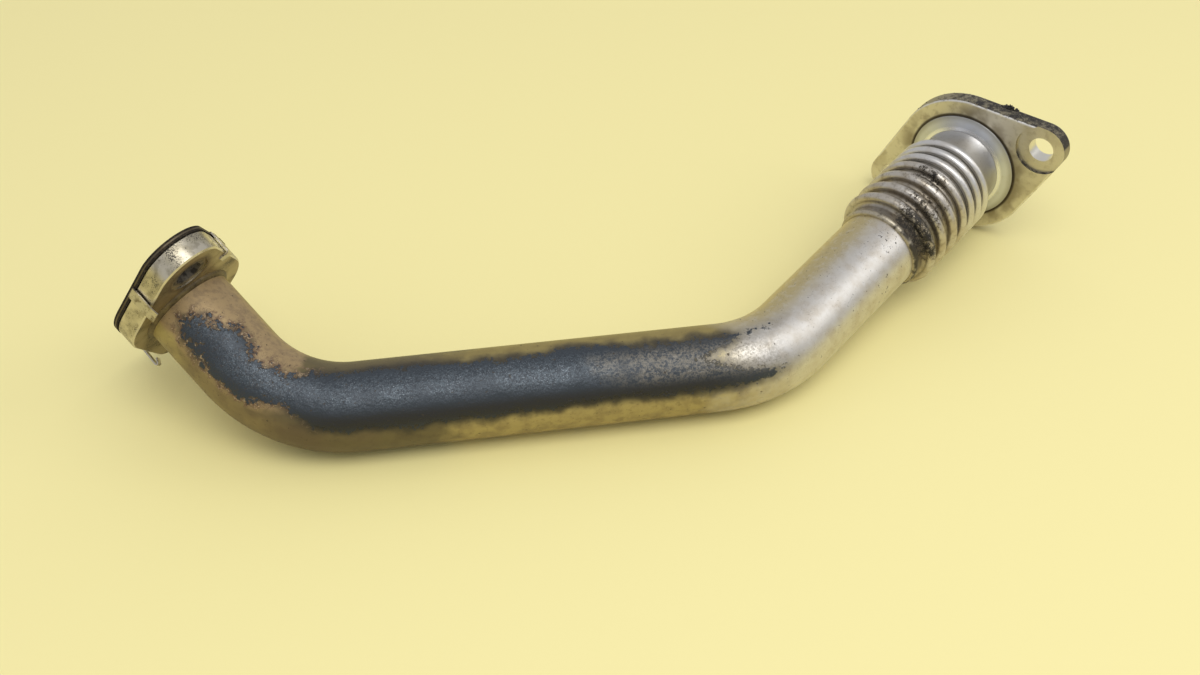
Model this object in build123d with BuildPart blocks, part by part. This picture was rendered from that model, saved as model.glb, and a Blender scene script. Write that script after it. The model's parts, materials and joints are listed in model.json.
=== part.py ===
from build123d import *
from math import acos, asin, cos, degrees, radians, sin
import os

os.makedirs("parts", exist_ok=True)

# Exhaust gas recirculation pipe, in millimetres and degrees. It lies on the floor as it
# comes to rest: on its straight run, which is along X, and on the straight lower side of
# the bellows flange. The gasket leg goes left and back, the bellows leg right and back.
# The bellows is flexed, so that its flange stands upright at the end of a rising leg.

# Tube
tube_od = 30.0
tube_wall = 1.5
bend_radius = 45.0

# Route of the centre line, corner to corner
first_corner_x = -120.0
first_corner_y = -51.4
straight_run = 162.0
gasket_leg = 49.6
gasket_leg_turn = 48.2
gasket_leg_rise = 29.2
tube_leg = 73.0
bellows_leg_turn = 39.6
bellows_flange_turn = 43.5

# Gasket flange, at the left end
gasket_flange_thickness = 7.4
gasket_hub_radius = 22.2
gasket_ear_radius = 12.3
gasket_bolt_spacing = 52.6
gasket_ear_lean = 12.0
gasket_spot_radius = 7.2
gasket_spot_depth = 0.5
gasket_flange_chamfer = 0.5
tube_recess = 0.6

# Bolt holes of both flanges
bolt_hole_radius = 4.75

# Laminated gasket: two soft facings on a steel core whose tabs reach round the flange
facing_thickness = 0.7
core_thickness = 0.5
gasket_margin = 0.2
gasket_bore_radius = 14.2
gasket_hole_clearance = 0.3
tab_along = 13.0
tab_width = 4.6
tab_clearance = 0.3
tab_root = 2.0
folded_tab_lip = 3.0
raised_tab_reach = 3.4
raised_tab_lean = 0.4
clip_along = 17.0
clip_width = 3.4
clip_spread = 0.8
clip_reach = 6.0
clip_hook = 1.9
clip_return = 3.6

# Bellows: the rings next to the tube are pulled apart, and the flex is spread over a few
# rings about the place where they meet the settled ones
stretched_count = 3
stretched_pitch = 7.2
settled_count = 4
settled_pitch = 5.7
flex_spread = 4.0
root_land = 0.45
bellows_od = 38.8
bellows_wall = 0.6
cuff_overlap = 2.4
cuff_lead = 0.2
neck_length = 15.0
slip_clearance = 0.05

# Bellows flange and its dished collar, at the right end
bellows_flange_thickness = 7.0
bellows_hub_radius = 27.3
bellows_ear_radius = 9.0
bellows_bolt_spacing = 68.0
bellows_spot_radius = 9.6
bellows_spot_depth = 1.2
bellows_flange_rounding = 0.8
bore_chamfer = 1.2
collar_od = 41.8
collar_rim = 0.5
collar_rise = 1.9
collar_rounding = 0.2

# Weld beads
pipe_weld_leg = 1.4
cuff_weld_leg = 1.8
cuff_weld_crown = 0.7
bore_weld_gap = 0.2

tube_radius = tube_od / 2
bore_radius = tube_radius - tube_wall

# Stations on the bellows leg, from the second corner along its own axis
cuff_start = tube_leg - cuff_overlap
waves_start = tube_leg + cuff_lead
neck_end = neck_length + bellows_flange_thickness - bore_chamfer

# The bellows as a row of short lengths, each straight: the cuff, the rings and the neck
pitches = [stretched_pitch] * stretched_count + [settled_pitch] * settled_count


def flex_share(place):
    """Share of the whole flex that comes before a length, by its place in the row."""
    reach = (place - stretched_count - 0.5) / flex_spread + 0.5
    reach = min(max(reach, 0), 1)
    return 3 * reach**2 - 2 * reach**3


shares = [flex_share(place) for place in range(len(pitches) + 2)]

# The leg climbs until the flange stands on the straight side between its hub and lower ear
climbing_length = waves_start + sum(
    pitch * (1 - share) for pitch, share in zip(pitches, shares[1:])
)
bellows_leg_rise = degrees(asin((bellows_hub_radius - tube_radius) / climbing_length))
bellows_ear_lean = degrees(
    asin((bellows_hub_radius - bellows_ear_radius) * 2 / bellows_bolt_spacing)
)


def heading(turn, rise):
    """Unit vector at `turn` from X seen from above, and at `rise` over the floor."""
    level = cos(radians(rise))
    return Vector(cos(radians(turn)) * level, sin(radians(turn)) * level, sin(radians(rise)))


def flexed_heading(share):
    """Direction of the bellows after a share of its flex."""
    slope = sin(radians(bellows_leg_rise)) * (1 - share)
    turn = bellows_leg_turn + (bellows_flange_turn - bellows_leg_turn) * share
    return heading(turn, degrees(asin(slope)))


def leg_plane(corner, axis):
    """Upright section through a leg, with X along it from its corner and Y out of it."""
    return Plane(origin=corner, x_dir=axis, z_dir=axis.cross(Vector(0, 0, 1)))


def flange_plane(centre, axis, ear_turn):
    """Inner face of a flange, seen from the pipe, with X towards its upper ear."""
    across = axis.cross(Vector(0, 0, 1)).normalized()
    upward = across.cross(axis)
    ear = across * cos(radians(ear_turn)) + upward * sin(radians(ear_turn))
    return Plane(origin=centre, x_dir=ear, z_dir=axis * -1)


first_corner = Vector(first_corner_x, first_corner_y, tube_radius)
second_corner = first_corner + Vector(straight_run, 0, 0)
gasket_axis = heading(180 - gasket_leg_turn, gasket_leg_rise)

# Direction of each length of the bellows, and the points where they meet
directions = [flexed_heading(share) for share in shares]
meetings = [second_corner + directions[0] * waves_start]
for pitch, direction in zip(pitches, directions[1:]):
    meetings.append(meetings[-1] + direction * pitch)
neck_axis = directions[-1]

gasket_side = leg_plane(first_corner, gasket_axis)
cuff_side = leg_plane(second_corner, directions[0])
neck_side = leg_plane(meetings[-1], neck_axis)
gasket_line = Axis(first_corner, gasket_axis)
cuff_line = Axis(second_corner, directions[0])
neck_line = Axis(meetings[-1], neck_axis)

gasket_face = flange_plane(
    first_corner + gasket_axis * gasket_leg, gasket_axis, 90 + gasket_ear_lean
)
bellows_face = flange_plane(
    meetings[-1] + neck_axis * neck_length, neck_axis, bellows_ear_lean
)


def two_bolt_outline(hub_radius, ear_radius, bolt_spacing):
    """Round hub and two round ears inside one tight loop."""
    Circle(hub_radius)
    bolt_circles(ear_radius, bolt_spacing)
    make_hull()


def bolt_circles(radius, bolt_spacing):
    """One circle round each bolt."""
    with Locations((bolt_spacing / 2, 0), (-bolt_spacing / 2, 0)):
        Circle(radius)


# Bent tube, open from end to end
with BuildPart() as main_pipe:
    with BuildLine() as centre_line:
        FilletPolyline(
            first_corner + gasket_axis * (gasket_leg + gasket_flange_thickness - tube_recess),
            first_corner,
            second_corner,
            second_corner + directions[0] * tube_leg,
            radius=bend_radius,
        )
    with BuildSketch(Plane(origin=centre_line.line @ 0, z_dir=centre_line.line % 0)):
        Circle(tube_radius)
        Circle(bore_radius, mode=Mode.SUBTRACT)
    sweep(path=centre_line.line)
main_pipe.part.label = "main_pipe"
export_step(main_pipe.part, "parts/main_pipe.step")

# Thick flange at the gasket end, with a counterbore round each bolt hole
with BuildPart() as gasket_flange:
    with BuildSketch(gasket_face):
        two_bolt_outline(gasket_hub_radius, gasket_ear_radius, gasket_bolt_spacing)
    extrude(amount=-gasket_flange_thickness)
    chamfer(gasket_flange.edges().filter_by(gasket_line, reverse=True), gasket_flange_chamfer)
    with BuildSketch(gasket_face):
        Circle(tube_radius + slip_clearance)
        bolt_circles(bolt_hole_radius, gasket_bolt_spacing)
    extrude(amount=-gasket_flange_thickness, mode=Mode.SUBTRACT)
    with BuildSketch(gasket_face):
        bolt_circles(gasket_spot_radius, gasket_bolt_spacing)
    extrude(amount=-gasket_spot_depth, mode=Mode.SUBTRACT)
gasket_flange.part.label = "gasket_flange"
export_step(gasket_flange.part, "parts/gasket_flange.step")

# Bead that joins the tube to the inner face of the gasket flange
with BuildPart() as gasket_flange_weld:
    with BuildSketch(gasket_side):
        with BuildLine():
            Polyline(
                (gasket_leg - pipe_weld_leg, tube_radius),
                (gasket_leg, tube_radius),
                (gasket_leg, tube_radius + pipe_weld_leg),
            )
            ThreePointArc(
                (gasket_leg, tube_radius + pipe_weld_leg),
                (gasket_leg - pipe_weld_leg * 0.6, tube_radius + pipe_weld_leg * 0.6),
                (gasket_leg - pipe_weld_leg, tube_radius),
            )
        make_face()
    revolve(axis=gasket_line)
gasket_flange_weld.part.label = "gasket_flange_weld"
export_step(gasket_flange_weld.part, "parts/gasket_flange_weld.step")

# Layers of the gasket, by their depth behind the inner face of the flange
core_depth = gasket_flange_thickness + facing_thickness


def gasket_layer(depth, thickness):
    """One layer of the gasket, with its bore and bolt holes."""
    with BuildSketch(gasket_face.offset(-depth)) as layer:
        two_bolt_outline(
            gasket_hub_radius + gasket_margin, gasket_ear_radius + gasket_margin, gasket_bolt_spacing
        )
        Circle(gasket_bore_radius, mode=Mode.SUBTRACT)
        with Locations((gasket_bolt_spacing / 2, 0), (-gasket_bolt_spacing / 2, 0)):
            Circle(bolt_hole_radius + gasket_hole_clearance, mode=Mode.SUBTRACT)
    extrude(layer.sketch, amount=-thickness)


with BuildPart() as gasket_inner_facing:
    gasket_layer(gasket_flange_thickness, facing_thickness)
gasket_inner_facing.part.label = "gasket_inner_facing"
export_step(gasket_inner_facing.part, "parts/gasket_inner_facing.step")

with BuildPart() as gasket_outer_facing:
    gasket_layer(core_depth + core_thickness, facing_thickness)
gasket_outer_facing.part.label = "gasket_outer_facing"
export_step(gasket_outer_facing.part, "parts/gasket_outer_facing.step")

# Middle of the core's sheet where it lies in the gasket, folds up and folds over
core_middle = -core_depth - core_thickness / 2
tab_bend = core_thickness
tab_outside = gasket_margin + tab_clearance + core_thickness / 2
tab_top = core_thickness / 2


def tab_plane(ear_side, hub_side, along):
    """Section across a slanting side of the flange: X out of the side, Y towards the pipe."""
    slant = asin((gasket_hub_radius - gasket_ear_radius) * 2 / gasket_bolt_spacing)
    outward = Vector(ear_side * sin(slant), hub_side * cos(slant), 0)
    sideways = Vector(ear_side * cos(slant), -hub_side * sin(slant), 0)
    origin = gasket_face.from_local_coords(outward * gasket_hub_radius + sideways * along)
    x_dir = gasket_face.from_local_coords(outward) - gasket_face.origin
    return Plane(origin=origin, x_dir=x_dir, z_dir=x_dir.cross(gasket_face.z_dir))


def bent_tab(plane, sheet_path, width):
    """Strip of the core's sheet bent along a path in the given plane."""
    with BuildSketch(plane) as section:
        with BuildLine():
            FilletPolyline(*sheet_path, radius=tab_bend)
        trace(line_width=core_thickness)
    extrude(section.sketch, amount=width / 2, both=True)


folded_path = [
    (-tab_root, core_middle),
    (tab_outside, core_middle),
    (tab_outside, tab_top),
    (-folded_tab_lip, tab_top),
]
raised_path = [
    (-tab_root, core_middle),
    (tab_outside, core_middle),
    (tab_outside, tab_top),
    (tab_outside - raised_tab_lean, raised_tab_reach),
]
hooked_path = [
    (-tab_root, core_middle),
    (tab_outside, core_middle),
    (tab_outside + clip_spread, clip_reach),
    (tab_outside + clip_spread - clip_hook, clip_reach - clip_return),
]

# Steel core: one tab is folded over the flange, one stands up, and a narrow clip is hooked
with BuildPart() as gasket_core:
    gasket_layer(core_depth, core_thickness)
    bent_tab(tab_plane(1, 1, tab_along), raised_path, tab_width)
    bent_tab(tab_plane(1, -1, tab_along), folded_path, tab_width)
    bent_tab(tab_plane(-1, 1, clip_along), hooked_path, clip_width)
gasket_core.part.label = "gasket_core"
export_step(gasket_core.part, "parts/gasket_core.step")

# Middle surface of the bellows sheet, at its straight stretches and its roots
cuff_radius = tube_radius + slip_clearance + bellows_wall / 2
neck_outside = cuff_radius + bellows_wall / 2
neck_inside = cuff_radius - bellows_wall / 2
wave_height = bellows_od / 2 - neck_outside


def sheet_line(start, end, waved, lift):
    """One face of the sheet, `lift` outside its middle, with or without a corrugation."""
    if not waved:
        Line((start, cuff_radius + lift), (end, cuff_radius + lift))
        return
    rise_start = start + 2 * root_land
    half_span = (end - start) / 2 - 2 * root_land
    radius = (half_span**2 + wave_height**2) / (4 * wave_height)
    swing = degrees(acos(1 - wave_height / (2 * radius)))
    land = Line((start, cuff_radius + lift), (rise_start, cuff_radius + lift))
    climb = JernArc(land @ 1, (1, 0), radius - lift, swing)
    crest = JernArc(climb @ 1, climb % 1, radius + lift, -2 * swing)
    descent = JernArc(crest @ 1, crest % 1, radius - lift, swing)
    Line(descent @ 1, (end, cuff_radius + lift))


def flexed_length(place, origin, start, end, waved=False):
    """One length of the bellows, turned about its own axis and mitred to its neighbours."""
    side = leg_plane(origin, directions[place])
    with BuildPart() as length:
        with BuildSketch(side):
            with BuildLine():
                sheet_line(start, end, waved, bellows_wall / 2)
                sheet_line(start, end, waved, -bellows_wall / 2)
                Line((start, neck_inside), (start, neck_outside))
                Line((end, neck_inside), (end, neck_outside))
            make_face()
        revolve(axis=Axis(origin, directions[place]))
        if place > 0:
            split(bisect_by=mitre_plane(place - 1), keep=Keep.TOP)
        if place < len(meetings):
            split(bisect_by=mitre_plane(place), keep=Keep.BOTTOM)
    return length.part


def mitre_plane(place):
    """Plane halfway between the directions of two lengths, where they meet."""
    return Plane(origin=meetings[place], z_dir=directions[place] + directions[place + 1])


bellows_lengths = [flexed_length(0, second_corner, cuff_start, waves_start + root_land)]
for place, pitch in enumerate(pitches, 1):
    bellows_lengths.append(
        flexed_length(place, meetings[place - 1], -root_land, pitch + root_land, waved=True)
    )
bellows_lengths.append(flexed_length(len(meetings), meetings[-1], -root_land, neck_end))

# Corrugated bellows, formed in one piece with its cuff and neck
with BuildPart() as bellows:
    add(bellows_lengths)
bellows.part.label = "bellows"
export_step(bellows.part, "parts/bellows.step")

# Bead that joins the end of the cuff to the tube
with BuildPart() as bellows_weld:
    with BuildSketch(cuff_side):
        with BuildLine():
            Polyline(
                (cuff_start - cuff_weld_leg, tube_radius),
                (cuff_start, tube_radius),
                (cuff_start, neck_outside),
                (cuff_start + cuff_weld_crown, neck_outside),
            )
            ThreePointArc(
                (cuff_start + cuff_weld_crown, neck_outside),
                (cuff_start - cuff_weld_leg / 4, neck_outside + cuff_weld_crown),
                (cuff_start - cuff_weld_leg, tube_radius),
            )
        make_face()
    revolve(axis=cuff_line)
bellows_weld.part.label = "bellows_weld"
export_step(bellows_weld.part, "parts/bellows_weld.step")

# Dished collar that backs the neck against the flange
with BuildPart() as dished_collar:
    with BuildSketch(neck_side) as collar_section:
        with BuildLine():
            Polyline(
                (neck_length, neck_outside + slip_clearance),
                (neck_length, collar_od / 2),
                (neck_length - collar_rim, collar_od / 2),
                (neck_length - collar_rim - collar_rise, neck_outside + slip_clearance),
                close=True,
            )
        make_face()
        fillet(collar_section.vertices().group_by(Axis.Y)[-1], collar_rounding)
    revolve(axis=neck_line)
dished_collar.part.label = "dished_collar"
export_step(dished_collar.part, "parts/dished_collar.step")

# Flange at the bellows end: the spot faces break out through the ends of its ears
with BuildPart() as bellows_flange:
    with BuildSketch(bellows_face):
        two_bolt_outline(bellows_hub_radius, bellows_ear_radius, bellows_bolt_spacing)
    extrude(amount=-bellows_flange_thickness)
    fillet(bellows_flange.edges().filter_by(neck_line, reverse=True), bellows_flange_rounding)
    with BuildSketch(bellows_face):
        Circle(neck_outside + slip_clearance)
    extrude(amount=-bellows_flange_thickness, mode=Mode.SUBTRACT)
    bore_mouth = bellows_flange.edges(Select.LAST).sort_by(neck_line)[-1]
    chamfer(bore_mouth, bore_chamfer)
    with BuildSketch(bellows_face):
        bolt_circles(bolt_hole_radius, bellows_bolt_spacing)
    extrude(amount=-bellows_flange_thickness, mode=Mode.SUBTRACT)
    with BuildSketch(bellows_face):
        bolt_circles(bellows_spot_radius, bellows_bolt_spacing)
    extrude(amount=-bellows_spot_depth, mode=Mode.SUBTRACT)
bellows_flange.part.label = "bellows_flange"
export_step(bellows_flange.part, "parts/bellows_flange.step")

# Bead between the end of the neck and the chamfered mouth of the flange
with BuildPart() as bellows_flange_weld:
    with BuildSketch(neck_side):
        with BuildLine():
            bead_top = bore_chamfer - bore_weld_gap
            Polyline(
                (neck_end, neck_inside),
                (neck_end, neck_outside + slip_clearance),
                (neck_end + bead_top, neck_outside + slip_clearance + bead_top),
            )
            ThreePointArc(
                (neck_end + bead_top, neck_outside + slip_clearance + bead_top),
                (neck_end + bead_top * 0.7, neck_outside),
                (neck_end, neck_inside),
            )
        make_face()
    revolve(axis=neck_line)
bellows_flange_weld.part.label = "bellows_flange_weld"
export_step(bellows_flange_weld.part, "parts/bellows_flange_weld.step")
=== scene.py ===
import json
from math import cos, degrees, radians, sin

import bmesh
import bpy
import numpy as np
from mathutils import Euler, Matrix, Vector


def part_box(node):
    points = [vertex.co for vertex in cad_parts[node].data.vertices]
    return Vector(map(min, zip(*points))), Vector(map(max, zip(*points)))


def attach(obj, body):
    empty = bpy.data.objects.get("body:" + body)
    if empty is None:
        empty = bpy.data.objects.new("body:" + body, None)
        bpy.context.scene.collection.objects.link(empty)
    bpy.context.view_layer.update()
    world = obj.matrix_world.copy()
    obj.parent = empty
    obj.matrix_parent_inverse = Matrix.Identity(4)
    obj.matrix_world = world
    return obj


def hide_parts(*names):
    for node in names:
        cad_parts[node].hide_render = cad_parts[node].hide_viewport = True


bl_info = {
    "name": "Exhaust Pipe Finish",
    "version": (1, 0, 0),
    "blender": (4, 5, 0),
    "location": "3D View > Sidebar > Pipe",
    "description": "Dresses a used exhaust gas pipe with scale, rust, soot and worn steel",
    "category": "Object",
}

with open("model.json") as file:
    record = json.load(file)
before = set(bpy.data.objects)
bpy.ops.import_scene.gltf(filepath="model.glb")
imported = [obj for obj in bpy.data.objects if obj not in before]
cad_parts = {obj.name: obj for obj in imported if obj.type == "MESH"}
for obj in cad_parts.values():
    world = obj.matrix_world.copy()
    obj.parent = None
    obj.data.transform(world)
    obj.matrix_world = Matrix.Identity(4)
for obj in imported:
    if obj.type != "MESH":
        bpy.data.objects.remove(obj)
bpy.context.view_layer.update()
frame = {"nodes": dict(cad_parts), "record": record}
BODY = "root"
MOUNTS = {mount["name"]: mount for mount in frame["record"]["mounts"]}

MM = 0.001
IN_MM = 1 / MM
IN_DEGREES = degrees(1)

# Crumbs are turned by angles up to this
FULL_TURN = 6.28

# Corners of a solid's mesh that lie closer than this are joined
WELD_SLACK = 0.00001
# Edges that bend more than this stay sharp
SMOOTH_ANGLE = radians(32)

# Length at the tube's end, counted from the corner of the bellows leg
BELLOWS_STATION = 0.073
# Points on the centre line of the bellows, and corners of its sheet that are measured at once
LINE_POINTS = 240
BATCH = 8192

# Grains in the heap of soot, and the seed of their places
HEAP_GRAINS = 70
HEAP_SEED = 11

FLOOR_REACH = 12.0
LAMP_AIM = Vector((0.02, 0.0, 0.0))
# Place, width and depth of the two soft lamps
CEILING_LAMP = (0.10, -0.50, 1.15), 1.0, 0.7
WINDOW_LAMP = (1.30, -0.20, 0.98), 1.0, 0.8


def mount_place(name):
    """Point and outward direction of one of the pipe's interfaces."""
    mount = MOUNTS[name]
    return Vector(mount["pos_m"]), Vector(mount["axis"]).normalized()


# Turn of each flange's upper bolt from the level line across the pipe
BOLT_TURNS = {"inlet_bolts": radians(102), "outlet_bolts": radians(32.56)}


def upper_bolt(mount):
    """Centre of a flange's upper bolt hole, halfway through the plates."""
    centre, axis = mount_place(mount)
    across = axis.cross(Vector((0, 0, 1))).normalized()
    upward = across.cross(axis)
    turn = BOLT_TURNS[mount]
    ear = across * cos(turn) + upward * sin(turn)
    return centre + ear * (MOUNTS[mount]["dims"]["pcd_mm"] / 2 * MM)


class TubeSizes(bpy.types.PropertyGroup):
    """Sizes of the bent tube, its crust and its crumbs"""

    outside: bpy.props.FloatProperty(
        name="Outside diameter", description="Diameter of the bent tube",
        default=30.0 * MM, subtype="DISTANCE", unit="LENGTH")
    wall: bpy.props.FloatProperty(
        name="Wall", description="Thickness of the tube's wall",
        default=1.5 * MM, subtype="DISTANCE", unit="LENGTH")
    bend_radius: bpy.props.FloatProperty(
        name="Bend radius", description="Radius of the centre line in both bends",
        default=45.0 * MM, subtype="DISTANCE", unit="LENGTH")
    straight_run: bpy.props.FloatProperty(
        name="Straight run", description="Distance between the corners of the route",
        default=162.0 * MM, subtype="DISTANCE", unit="LENGTH")
    bellows_leg: bpy.props.FloatProperty(
        name="Bellows leg", description="Distance from the second corner to the tube's end",
        default=73.0 * MM, subtype="DISTANCE", unit="LENGTH")
    step: bpy.props.FloatProperty(
        name="Step", description="Length of one facet along the tube",
        default=0.9 * MM, subtype="DISTANCE", unit="LENGTH")
    facets: bpy.props.IntProperty(
        name="Facets", description="Number of facets round the tube", default=112, min=24)
    crust: bpy.props.FloatProperty(
        name="Crust", description="Height of the scale over the bare steel",
        default=0.16 * MM, subtype="DISTANCE", unit="LENGTH")
    covered: bpy.props.FloatProperty(
        name="Covered end", description="Length of tube inside the gasket flange",
        default=6.8 * MM, subtype="DISTANCE", unit="LENGTH")
    crumb: bpy.props.FloatProperty(
        name="Crumb", description="Radius of the largest soot crumbs",
        default=0.42 * MM, subtype="DISTANCE", unit="LENGTH")


class FinishColours(bpy.types.PropertyGroup):
    """Main colours of the pipe's finishes"""

    bare_steel: bpy.props.FloatVectorProperty(
        name="Bare steel", description="Clean tube near the bellows",
        default=(0.60, 0.57, 0.52, 1), size=4, subtype="COLOR")
    brown_steel: bpy.props.FloatVectorProperty(
        name="Browned steel", description="Tube tinted brown by heat",
        default=(0.38, 0.305, 0.125, 1), size=4, subtype="COLOR")
    tan_oxide: bpy.props.FloatVectorProperty(
        name="Tan oxide", description="Pale baked oxide at the gasket end",
        default=(0.345, 0.245, 0.12, 1), size=4, subtype="COLOR")
    rust: bpy.props.FloatVectorProperty(
        name="Rust", description="Brown rust at the edges of the scale",
        default=(0.15, 0.088, 0.045, 1), size=4, subtype="COLOR")
    scale: bpy.props.FloatVectorProperty(
        name="Scale", description="Blue-black heat scale",
        default=(0.032, 0.040, 0.049, 1), size=4, subtype="COLOR")
    soot: bpy.props.FloatVectorProperty(
        name="Soot", description="Black soot and baked oil",
        default=(0.014, 0.012, 0.010, 1), size=4, subtype="COLOR")
    bellows_steel: bpy.props.FloatVectorProperty(
        name="Bellows steel", description="Satin stainless sheet",
        default=(0.66, 0.645, 0.62, 1), size=4, subtype="COLOR")
    plate_steel: bpy.props.FloatVectorProperty(
        name="Flange steel", description="Stained steel plate of the bellows flange",
        default=(0.71, 0.67, 0.56, 1), size=4, subtype="COLOR")
    rim_steel: bpy.props.FloatVectorProperty(
        name="Rim steel", description="Worn rim of the gasket flange",
        default=(0.58, 0.53, 0.42, 1), size=4, subtype="COLOR")
    gasket: bpy.props.FloatVectorProperty(
        name="Gasket facing", description="Black graphite facing",
        default=(0.016, 0.013, 0.010, 1), size=4, subtype="COLOR")


class StageSettings(bpy.types.PropertyGroup):
    """Floor, camera and light"""

    floor: bpy.props.FloatVectorProperty(
        name="Floor", description="Pale floor under the pipe",
        default=(0.885, 0.79, 0.36, 1), size=4, subtype="COLOR")
    lens: bpy.props.FloatProperty(
        name="Lens", description="Focal length on a frame 36 mm wide",
        default=47.4, subtype="DISTANCE_CAMERA", unit="CAMERA")
    camera_place: bpy.props.FloatVectorProperty(
        name="Camera place", description="Where the camera stands",
        default=(-0.0907, -0.4359, 0.3778), size=3, subtype="TRANSLATION", unit="LENGTH")
    yaw: bpy.props.FloatProperty(
        name="Yaw", description="Turn of the view from +Y towards +X",
        default=radians(11.01), subtype="ANGLE", unit="ROTATION")
    pitch: bpy.props.FloatProperty(
        name="Pitch", description="Angle of the view below the horizon",
        default=radians(41.25), subtype="ANGLE", unit="ROTATION")
    roll: bpy.props.FloatProperty(
        name="Roll", description="Turn of the camera about its own view",
        default=radians(1.36), subtype="ANGLE", unit="ROTATION")
    sky: bpy.props.FloatProperty(
        name="Room light", description="Strength of the even light of the room", default=0.66)
    lamp: bpy.props.FloatProperty(
        name="Ceiling lamp", description="Power of the soft lamp overhead",
        default=7.0, subtype="POWER", unit="POWER")
    window: bpy.props.FloatProperty(
        name="Window lamp", description="Power of the soft lamp at the bellows' side",
        default=2.9, subtype="POWER", unit="POWER")


class Field:
    """Number that nodes work out. A sign of a sum between fields adds the node for it."""

    def __init__(self, graph, socket):
        self.graph = graph
        self.socket = socket

    def __add__(self, other):
        return self.graph.math("ADD", self, other)

    def __radd__(self, other):
        return self.graph.math("ADD", other, self)

    def __sub__(self, other):
        return self.graph.math("SUBTRACT", self, other)

    def __rsub__(self, other):
        return self.graph.math("SUBTRACT", other, self)

    def __mul__(self, other):
        return self.graph.math("MULTIPLY", self, other)

    def __truediv__(self, other):
        return self.graph.math("DIVIDE", self, other)

    def __abs__(self):
        return self.graph.math("ABSOLUTE", self)


class Graph:
    """Adds nodes to one tree and joins them."""

    def __init__(self, tree):
        self.tree = tree

    def feed(self, socket, value):
        """Links a field or a socket into another socket, or sets its value."""
        if isinstance(value, Field):
            value = value.socket
        if isinstance(value, bpy.types.NodeSocket):
            self.tree.links.new(value, socket)
        else:
            socket.default_value = value

    def node(self, kind, inputs=None, **settings):
        """New node with its settings and its inputs, by name or by number."""
        made = self.tree.nodes.new(kind)
        for name, value in settings.items():
            setattr(made, name, value)
        for key, value in (inputs or {}).items():
            self.feed(made.inputs[key], value)
        return made

    def first(self, kind, inputs=None, **settings):
        """First result of a new node."""
        return self.node(kind, inputs, **settings).outputs[0]

    def number(self, kind, inputs=None, **settings):
        """First result of a new node, as a field."""
        return Field(self, self.first(kind, inputs, **settings))

    def math(self, operation, *values):
        """Result of one sum on one or two numbers."""
        return self.number("ShaderNodeMath", dict(enumerate(values)), operation=operation)

    def least(self, value, *others):
        """Smallest of some numbers."""
        for other in others:
            value = self.math("MINIMUM", value, other)
        return value

    def most(self, value, *others):
        """Largest of some numbers."""
        for other in others:
            value = self.math("MAXIMUM", value, other)
        return value

    def vector_math(self, operation, *values):
        """Vector result of one sum on vectors, or its number for a dot product or a length."""
        made = self.node("ShaderNodeVectorMath", dict(enumerate(values)), operation=operation)
        single = operation in ("DOT_PRODUCT", "LENGTH")
        return Field(self, made.outputs["Value" if single else "Vector"])

    def dot(self, first, second):
        """How far one vector reaches along another."""
        return self.vector_math("DOT_PRODUCT", first, second)

    def from_point(self, place, point):
        """Vector to a place from a fixed point."""
        return self.vector_math("SUBTRACT", place, point)

    def angle(self, around):
        """Angle in degrees from the top towards the front, of a vector out of the centre line."""
        parts = self.node("ShaderNodeSeparateXYZ", {0: around}).outputs
        return self.math("ARCTAN2", parts["Y"], parts["X"]) * IN_DEGREES

    def up(self, vector):
        """Height of a vector."""
        return self.node("ShaderNodeSeparateXYZ", {0: vector}).outputs["Z"]

    def scaled(self, vector, size):
        """Vector made longer or shorter."""
        return self.first("ShaderNodeVectorMath", {0: vector, "Scale": size}, operation="SCALE")

    def spread(self, value, low, high, bottom=0.0, top=1.0):
        """Smooth step from `bottom` at `low` to `top` at `high`."""
        return self.number(
            "ShaderNodeMapRange", {0: value, 1: low, 2: high, 3: bottom, 4: top},
            interpolation_type="SMOOTHSTEP")

    def band(self, value, low, high, soft):
        """One between `low` and `high`, and nothing outside, with soft ends."""
        rise = self.spread(value, low - soft, low + soft)
        fall = self.spread(value, high - soft, high + soft, 1.0, 0.0)
        return rise * fall

    def noise(self, vector, size, detail=3.0, roughness=0.5, distortion=0.0):
        """Even noise with grains of about `size`."""
        return self.number("ShaderNodeTexNoise", {
            "Vector": vector, "Scale": 1 / size, "Detail": detail, "Roughness": roughness,
            "Distortion": distortion})

    def curve(self, value, points):
        """Number read from a drawn curve through `points`."""
        made = self.node("ShaderNodeFloatCurve", {"Value": value})
        line = made.mapping.curves[0]
        made.mapping.use_clip = False
        for place, (x, y) in enumerate(points):
            if place < 2:
                line.points[place].location = (x, y)
            else:
                line.points.new(x, y)
        for point in line.points:
            point.handle_type = "VECTOR"
        made.mapping.update()
        return Field(self, made.outputs[0])


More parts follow.
